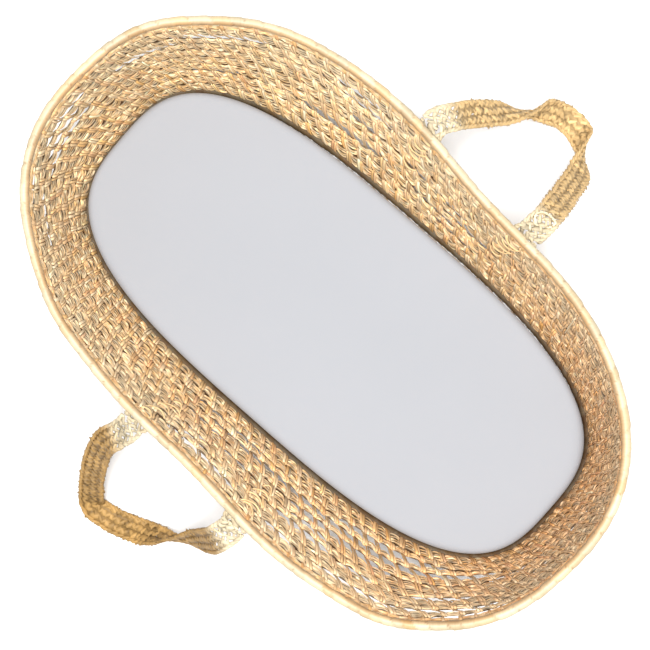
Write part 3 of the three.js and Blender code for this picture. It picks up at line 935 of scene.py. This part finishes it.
def strap_tones(length, middle, source):
    """Pale cream near the rim, painted light where the strap's ends face up to the lamp; the
    given tone along the rest, with chance patches.
    """
    patches = source.normal(0, 1, 90)

    def tones(distance):
        from_end = np.minimum(distance, length - distance) / (45 * MM)
        own = np.clip(from_end - 0.5, 0, 1)
        own = (own * own * (3 - 2 * own))[..., None]
        patch = np.interp(np.clip(distance, 0, length) / length * 89, np.arange(90), patches)
        # Paler towards the rim ends: painted light.
        colour = (CREAM * 0.72) * (1 - own) + middle * own
        return np.clip(colour * (1 + 0.12 * patch)[..., None], 0.02, 1)
    return tones


def make_strap(name, side, loop, middle, seed):
    source = np.random.default_rng(seed)
    ribbon = strap_ribbon(side, loop)
    pieces = Pieces()
    tones = strap_tones(ribbon.length, middle, source)
    add_strap_weave(pieces, ribbon, tones, source, (50 * MM, ribbon.length - 50 * MM))
    pieces.build(
        f"woven_strap_{name}", STRAP_STRAW, f"handle_{name}", "strap_straw",
        f"handle_strap_{name}",
    )


# The right strap's darker middle tone is partly its more golden colour, partly painted shade
# where it hangs low, away from the light.
make_strap("left", 1, LEFT_LOOP, WHEAT * 0.5 + OCHRE * 0.36, 71)
make_strap("right", -1, RIGHT_LOOP, BROWN * 0.16 + OCHRE * 0.56, 72)


# ---- tails and lacing
def share_round(side, along):
    """The share of the way round the rim that is beside a point of a hinge line."""
    target = from_hinge(side, along, 0, 0)
    angles = np.arctan2(rim_ring[:, 1], rim_ring[:, 0])
    wanted = math.atan2(target[1], target[0])
    difference = np.mod(angles - wanted + math.pi, 2 * math.pi) - math.pi
    return int(np.argmin(np.abs(difference))) / FINE


def slant_at(turn):
    return float(around(wall_slant, np.array([turn]))[0, 0])


def blend_rows(rows, where):
    """Rows of vectors, mixed at places counted in rows."""
    numbers = np.arange(len(rows))
    return np.stack([np.interp(where, numbers, rows[:, axis]) for axis in range(3)], axis=1)


def tail_ribbon(side, along):
    turn = share_round(side, along)
    slant = slant_at(turn)
    down = np.array([8, 14, 24, 45, 70, 95, 113]) * MM
    depth = np.array([3.9, 4.6, 5.0, 5.0, 5.0, 5.0, 4.8]) * MM
    turns = np.full(len(down), turn)
    place, around_wall, _, out = wall_frame(turns, 1 - down / slant, depth)
    start = from_hinge(side, along, np.array([-0.6 * MM]), np.array([-2.0 * MM]))
    line = np.vstack([start, place])
    where = np.linspace(0, len(line) - 1, 200)
    width = np.vstack([along_rim[None] * -side, around_wall])
    face = np.vstack([across_rim[None] * side, out])
    curve = catmull(line, where)
    outer = blend_rows(face, where)
    ahead = unit(np.gradient(curve, axis=0))
    aside = unit(blend_rows(width, where))
    aside = unit(aside - ahead * np.sum(aside * ahead, axis=1, keepdims=True))
    face = np.cross(aside, ahead)
    face *= np.sign(np.sum(face * outer, axis=1, keepdims=True))
    return Ribbon(curve, aside, face)


def make_tail(side_name, end, side, along, seed):
    source = np.random.default_rng(seed)
    ribbon = tail_ribbon(side, along)
    pieces = Pieces()

    def tones(distance):
        part = np.clip(distance / ribbon.length, 0, 1)[..., None]
        return CREAM * 0.6 * (1 - part) + WHEAT * 0.7 * part

    add_strap_weave(pieces, ribbon, tones, source)
    where = f"{side_name}_{end}"
    node = f"handle_tail_{where}"
    pieces.build(f"strap_tail_{where}", STRAP_STRAW, "basket", "strap_straw", node)


NEVER_AHEAD = np.array([0.31, 0.17, 0.93])  # a direction in which no round cord runs


def add_round_cord(pieces, line, radius, tone, source):
    """A plain round strand through points close together."""
    ahead = unit(np.gradient(line, axis=0))
    aside = unit(np.cross(ahead, NEVER_AHEAD))
    points, angle = tube(line, aside, np.cross(ahead, aside), radius, radius, 6)
    reached = np.concatenate([[0], np.cumsum(np.linalg.norm(np.diff(line, axis=0), axis=1))])
    pieces.grid(
        points, tone, fibre_run(points, reached[:, None] + source.random(), angle[None] * radius),
    )


def make_lacing(side_name, end, side, along, seed):
    """Curved stitches one under another on the inside of the wall, which hold the tail."""
    source = np.random.default_rng(seed)
    turn = share_round(side, along)
    slant = slant_at(turn)
    pieces = Pieces()
    for row in range(5):
        top = 14 * MM + row * 20 * MM + source.normal(0, 3 * MM)
        reach = (15 + source.normal(0, 3)) * MM * (1 if row % 2 else -1)
        drop = (9 + source.normal(0, 2)) * MM
        part = np.linspace(0, 1, 11)
        sideways = reach * (part - 0.5) * 1.6 + source.normal(0, 2 * MM)
        down = top + drop * part + 7 * MM * np.sin(math.pi * part)
        depth = -(1.2 + 3.4 * np.sin(math.pi * part) ** 0.5) * MM
        place = wall_place(turn + sideways / PERIMETER, 1 - down / slant, depth)
        tone = WHEAT * (0.95 + source.normal(0, 0.06))
        add_round_cord(pieces, place, 0.85 * MM, np.clip(tone, 0, 1), source)
    where = f"{side_name}_{end}"
    node = f"tail_lacing_{where}"
    pieces.build(f"stitches_{where}", LACE_STRAW, "basket", "lacing_straw", node)


ATTACHMENTS = [
    ("left", "head", 1, LEFT_LOOP[0][0] * MM),
    ("left", "foot", 1, LEFT_LOOP[-1][0] * MM),
    ("right", "head", -1, RIGHT_LOOP[0][0] * MM),
    ("right", "foot", -1, RIGHT_LOOP[-1][0] * MM),
]
for number, (side_name, end, side, along) in enumerate(ATTACHMENTS):
    make_tail(side_name, end, side, along, 80 + number)
    make_lacing(side_name, end, side, along, 90 + number)


# ---- tied cord on the left handle
def make_tie():
    source = np.random.default_rng(66)
    low, high = (np.array(corner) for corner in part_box("tie_cord"))
    middle = (low + high) / 2
    reach = (high - low) / 2 - 1.5 * MM
    pieces = Pieces()
    part = np.linspace(0, 2 * math.pi * 0.97, 40)
    across = reach[0] * np.cos(part) + 1.2 * MM * np.sin(3 * part)
    along = reach[1] * np.sin(part) + 1.2 * MM * np.cos(2 * part)
    height = reach[2] * np.sin(part * 2 + 0.6)
    line = middle + np.column_stack([across, along, height])
    for turn in (0, math.pi):
        twist = part * 14 + turn
        shift = 0.8 * MM * np.column_stack([np.cos(twist), np.sin(twist), np.sin(twist)])
        add_round_cord(pieces, line + shift, 1.1 * MM, CREAM * 0.93, source)
    pieces.build("tied_cord_loop", LACE_STRAW, "handle_left", "lacing_straw", "tie_cord")


make_tie()


def make_stray_straw():
    """One stiff straw that sticks out of the weave, slanting down the inside near the foot."""
    part = np.linspace(0, 1, 12)
    rise = 0.9 - 0.42 * part
    depth = -(1.5 + 3.5 * np.sin(math.pi * part) ** 0.5) * MM
    place = wall_place(0.15 - 0.012 * part, rise, depth)
    pieces = Pieces()
    add_round_cord(pieces, place, 0.9 * MM, CREAM, np.random.default_rng(99))
    pieces.build("stray_straw", LACE_STRAW, "basket", "woven_straw")


make_stray_straw()


# ---- mattress
def object_noise(tree, scale, detail, **settings):
    """Noise that lies fixed in the piece."""
    place = add_node(tree, "ShaderNodeTexCoord")
    noise = add_node(tree, "ShaderNodeTexNoise", Scale=scale, Detail=detail, **settings)
    tree.links.new(place.outputs["Object"], noise.inputs["Vector"])
    return noise.outputs["Fac"]


def tinted(tree, shader, share, low, high):
    """A base colour between two colours."""
    mix = add_node(tree, "ShaderNodeMix", data_type="RGBA")
    mix.inputs["A"].default_value = (*low, 1)
    mix.inputs["B"].default_value = (*high, 1)
    tree.links.new(share, mix.inputs["Factor"])
    tree.links.new(mix.outputs["Result"], shader.inputs["Base Color"])


def cotton_material():
    material, tree, shader = new_material("cotton", 0.9, 0.15)
    shader.inputs["Sheen Weight"].default_value = 0.15
    weave = object_noise(tree, 420.0, 3.0, Roughness=0.7)
    cloud = object_noise(tree, 5.0, 2.0)
    tinted(tree, shader, cloud, (0.298, 0.307, 0.328), (0.318, 0.327, 0.35))
    bump = add_node(tree, "ShaderNodeBump", Strength=0.12, Distance=0.0004)
    tree.links.new(weave, bump.inputs["Height"])
    tree.links.new(bump.outputs["Normal"], shader.inputs["Normal"])
    return material


def foam_material():
    material, tree, shader = new_material("foam_cover", 0.95, 0.1)
    cells = object_noise(tree, 260.0, 2.0)
    tinted(tree, shader, cells, (0.80, 0.78, 0.72), (0.88, 0.86, 0.81))
    return material


pad_ring = oval(sheet_high[0], sheet_high[1], PAD_POWER)
pad_out = outwards(pad_ring)
PAD_TOP = sheet_high[2]
PAD_FOOT = sheet_low[2]
PAD_STEPS = 300  # points round the pad
EDGE_ROUND = 9 * MM
SHEET_HEM = 45 * MM
pad_edge = around(pad_ring, np.arange(PAD_STEPS) / PAD_STEPS)
pad_side = around(pad_out, np.arange(PAD_STEPS) / PAD_STEPS)


def skin_mesh(name, layers, material):
    """Rings of points joined into one skin, whose first ring is closed by a disc."""
    count, steps, _ = layers.shape
    places = layers.reshape(-1, 3).tolist()
    faces = []
    for row in range(count - 1):
        for k in range(steps):
            following = (k + 1) % steps
            a, b = row * steps + k, row * steps + following
            faces.append([a, b, b + steps, a + steps])
    middle = len(places)
    places.append(layers[0].mean(axis=0).tolist())
    for k in range(steps):
        faces.append([middle, (k + 1) % steps, k])
    mesh = bpy.data.meshes.new(name)
    mesh.from_pydata(places, [], faces)
    mesh.polygons.foreach_set("use_smooth", [True] * len(mesh.polygons))
    mesh.materials.append(material)
    mesh.update()
    thing = bpy.data.objects.new(name, mesh)
    bpy.context.scene.collection.objects.link(thing)
    return thing


def top_rings(count, edge_inset, steps):
    """Rings that shrink from the pad's edge to its middle, as shares of the ring."""
    turn = np.arange(steps) / steps
    ring = around(pad_ring, turn) - around(pad_out, turn) * edge_inset
    shares = np.linspace(0.02, 1, count)
    return [ring * [share, share, 0] for share in shares]


def sheet_swell(points):
    """How far the sheet's top stands above its flat height: soft puckers towards the edge."""
    x, y = points[..., 0] / sheet_high[0], points[..., 1] / sheet_high[1]
    edge = np.clip((np.abs(x) ** 3 + np.abs(y) ** 3) ** (1 / 3), 0, 1)
    broad = 0.5 * np.sin(5.1 * x + 2.3 * y + 0.7) * np.sin(3.7 * x - 4.1 * y)
    angle = np.arctan2(points[..., 1], points[..., 0])
    pucker = np.sin(23 * angle + 2 * np.sin(5 * angle)) * edge ** 6
    return (0.6 * broad + 0.35 * pucker) * MM - 1.0 * MM * edge ** 8


def make_cover():
    """The fitted sheet: its top, rounded edge, side, and the hem turned in underneath."""
    layers = top_rings(40, EDGE_ROUND, PAD_STEPS)
    layers = [layer + [0, 0, PAD_TOP - 1.2 * MM] for layer in layers]
    layers = [layer + sheet_swell(layer)[:, None] * [0, 0, 1] for layer in layers]
    turn = np.arange(PAD_STEPS) / PAD_STEPS
    crease = 0.35 * MM * np.sin(2 * math.pi * 61 * turn) + 0.4 * MM * bumpy(turn, 6, 5, (20, 80))
    for degrees in (25, 50, 75):
        c, s = math.cos(math.radians(degrees)), math.sin(math.radians(degrees))
        height = PAD_TOP - 2.2 * MM - EDGE_ROUND * (1 - c)
        layers.append(pad_edge - pad_side * (EDGE_ROUND * (1 - s)) + [0, 0, height])
    side_top = PAD_TOP - 12 * MM
    for share in np.linspace(0, 1, 7):
        height = side_top * (1 - share) + (PAD_FOOT + 2 * MM) * share
        fold = np.abs(crease * share)[:, None]
        layers.append(pad_edge - pad_side * (0.2 * MM + fold) + [0, 0, height])
    for inset in (2, 12, 25, 38, 45):
        ruck = (0.6 * MM * np.sin(2 * math.pi * 75 * turn) * inset / 45)[:, None] * [0, 0, 1]
        under = pad_edge - pad_side * inset * MM + [0, 0, PAD_FOOT + 0.7 * MM]
        layers.append(under + np.abs(ruck))
    return skin_mesh("cotton_sheet", np.array(layers), cotton_material())


def make_pad():
    low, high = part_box("mattress_foam")
    edge = pad_edge - pad_side * 1.3 * MM
    layers = [
        edge * [share, share, 0] + [0, 0, low[2] + 0.2 * MM]
        for share in np.linspace(0.02, 0.9, 6)
    ]
    for inset, height in ((8, 0.2), (2, 2.5), (0.4, 8), (0.4, 27), (3, 31), (8, 34)):
        layers.append(edge - pad_side * inset * MM + [0, 0, low[2] + height * MM])
    for share in np.linspace(0.9, 0.02, 6):
        layers.append(edge * [share, share, 0] + [0, 0, high[2] - 4 * MM])
    return skin_mesh("foam_pad", np.array(layers), foam_material())


def make_elastic():
    pieces = Pieces()
    line = pad_edge - pad_side * (SHEET_HEM - 2 * MM) + [0, 0, PAD_FOOT + 1.4 * MM]
    points, _ = tube(line, pad_side, UPWARD, 3 * MM, 0.5 * MM, 6)
    pieces.grid(points, np.array([0.75, 0.75, 0.76]), np.zeros(points.shape), closed=True)
    return pieces.build(
        "hem_elastic", cotton_material(), "mattress", "elastic", "sheet_elastic",
    )


cover = make_cover()
pad = make_pad()
for thing, slot, node in ((cover, "cotton", "fitted_sheet"), (pad, "foam", "mattress_foam")):
    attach(thing, "mattress")
    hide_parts(node)
band = make_elastic()


# ---- floor and light
def make_floor():
    bpy.ops.mesh.primitive_plane_add(size=14, location=(0, 0, -0.0005))
    floor = bpy.context.object
    floor.name = "floor"
    material, _, shader = new_material("floor", 0.9, 0.1)
    shader.inputs["Base Color"].default_value = (0.88, 0.88, 0.88, 1)
    floor.data.materials.append(material)


LIGHT_AIM = (0, 0, 0.1)


def make_light(name, place, size, power):
    data = bpy.data.lights.new(name, "AREA")
    data.shape = "DISK"
    data.size = size
    data.energy = power
    light = bpy.data.objects.new(name, data)
    light.location = place
    light.rotation_euler = (Vector(place) - Vector(LIGHT_AIM)).to_track_quat("Z", "Y").to_euler()
    bpy.context.scene.collection.objects.link(light)


def light_scene():
    world = bpy.data.worlds.new("studio")
    world.use_nodes = True
    background = world.node_tree.nodes["Background"]
    background.inputs["Color"].default_value = (1, 1, 1, 1)
    background.inputs["Strength"].default_value = 0.26
    bpy.context.scene.world = world
    make_light("key", (0.18, 0.0, 2.8), 1.3, 156)
    bpy.context.scene.view_settings.view_transform = "Standard"


make_floor()
light_scene()
